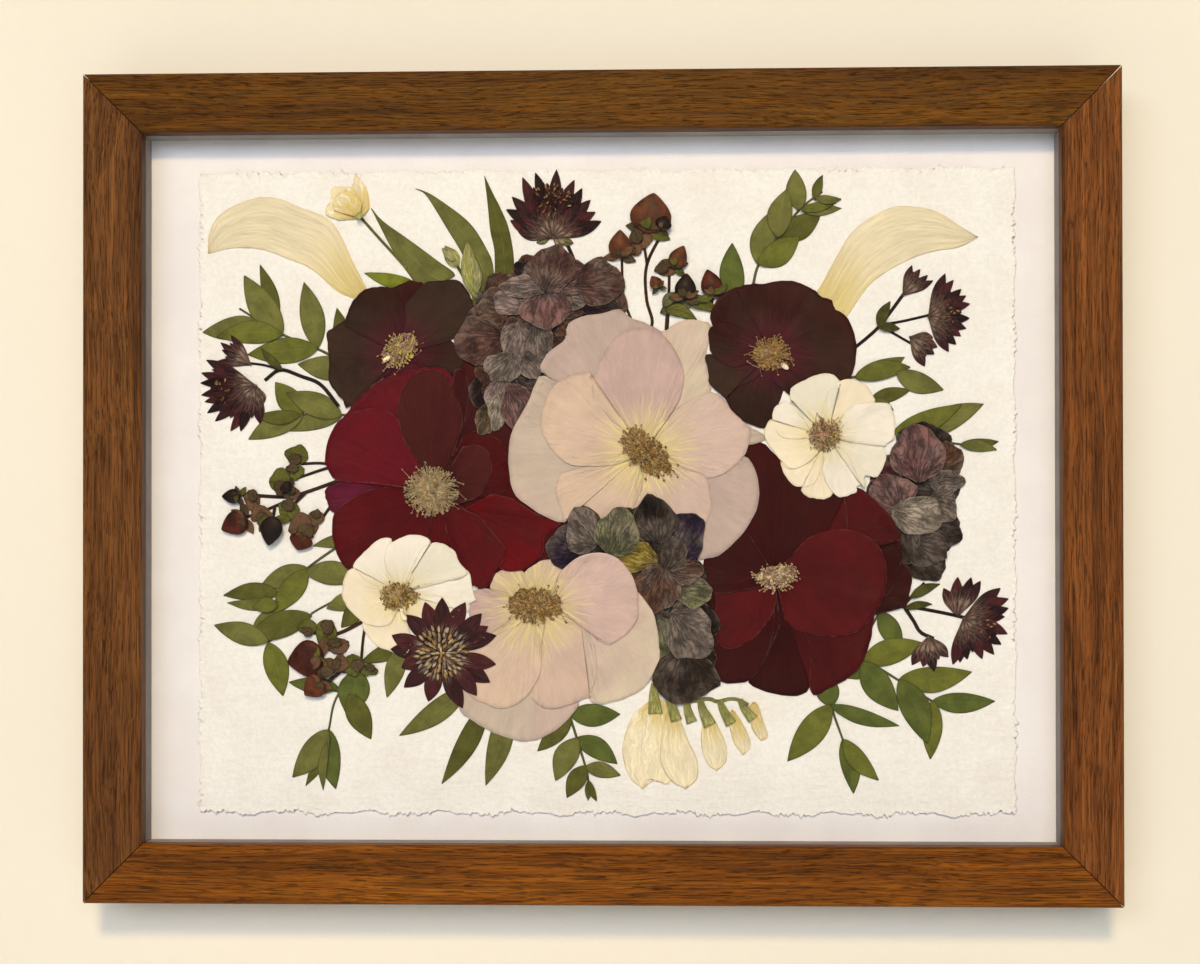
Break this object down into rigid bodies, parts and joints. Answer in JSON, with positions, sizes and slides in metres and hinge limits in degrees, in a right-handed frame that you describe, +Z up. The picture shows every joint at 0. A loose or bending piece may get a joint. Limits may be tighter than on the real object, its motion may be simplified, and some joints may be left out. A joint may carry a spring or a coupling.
{
  "type": "pressed flower frame",
  "caption": "Shadow-box picture frame in walnut with dried pressed flowers and leaves on a torn-edge sheet behind glass.",
  "frame": {"origin": "the point of the sawtooth hanger that a wall nail carries, in the middle of the top rail's back", "axes": "+Z up, +X to the viewer's right along the frame's width, +Y to the wall, so the glass faces -Y"},
  "size_m": [0.3874, 0.0321, 0.3111],
  "materials": {
    "walnut": "oiled walnut, open pores",
    "glazing": "clear picture glass",
    "board": "uncoated off-white board",
    "deckle_paper": "rough handmade cotton paper, torn edge",
    "kraft_board": "plain brown backing board",
    "steel": "plain zinc-coated steel",
    "burgundy_petal": "dried petal, very dark burgundy",
    "crimson_petal": "dried petal, crimson",
    "maroon_petal": "dried petal, dark maroon",
    "blush_petal": "dried petal, pale blush, translucent",
    "ivory_petal": "dried petal, ivory white",
    "hydrangea_petal": "dried veined petal, grey mauve",
    "masterwort": "dried bract, plum",
    "dried_pod": "dried pod, red brown",
    "lily_petal": "dried petal, cream, creased",
    "freesia_petal": "dried petal, cream",
    "fresh_leaf": "dried leaf, light green",
    "leaf": "dried leaf, olive green"
  },
  "bodies": {
    "root": {"rail_top": "walnut", "rail_bottom": "walnut", "rail_right": "walnut", "rail_left": "walnut", "glazing": "glazing", "deckle_paper": "deckle_paper", "mat_board": "board", "backing_board": "kraft_board", "spacer_top": "board", "spacer_bottom": "board", "spacer_left": "board", "spacer_right": "board", "flex_tab_top": "steel", "flex_tab_bottom": "steel", "flex_tab_left": "steel", "flex_tab_right": "steel", "sawtooth_hanger": "steel", "hanger_nail_left": "steel", "hanger_nail_right": "steel", "rose_burgundy_left": "burgundy_petal", "rose_crimson_left": "crimson_petal", "rose_burgundy_right": "burgundy_petal", "rose_crimson_right": "maroon_petal", "rose_blush_centre": "blush_petal", "rose_blush_lower": "blush_petal", "rose_white_right": "ivory_petal", "rose_white_left": "ivory_petal", "hydrangea_upper": "hydrangea_petal", "hydrangea_middle": "hydrangea_petal", "hydrangea_right": "hydrangea_petal", "astrantia_star": "masterwort", "astrantia_top": "masterwort", "astrantia_left": "masterwort", "astrantia_right_upper": "masterwort", "astrantia_right_lower": "masterwort", "hypericum_top": "dried_pod", "hypericum_top_right": "dried_pod", "hypericum_left": "dried_pod", "hypericum_lower_left": "dried_pod", "lily_petal_left": "lily_petal", "lily_petal_right": "lily_petal", "freesia_bud_upper": "freesia_petal", "freesia_bud_small": "fresh_leaf", "freesia_spray": "freesia_petal", "lance_top_left": "leaf", "lance_top_middle": "leaf", "lance_top_right": "leaf", "lance_top_small": "fresh_leaf", "lance_bottom_left": "leaf", "lance_bottom_middle": "leaf", "lance_bottom_right": "leaf", "sprig_upper_left": "leaf", "sprig_top_right": "leaf", "leaf_top": "leaf", "sprig_right": "leaf", "sprig_lower_left": "leaf", "sprig_lower_left_twigs": "leaf", "sprig_bottom": "leaf", "sprig_lower_right_a": "leaf", "sprig_lower_right_b": "leaf"}
  },
  "joints": []
}
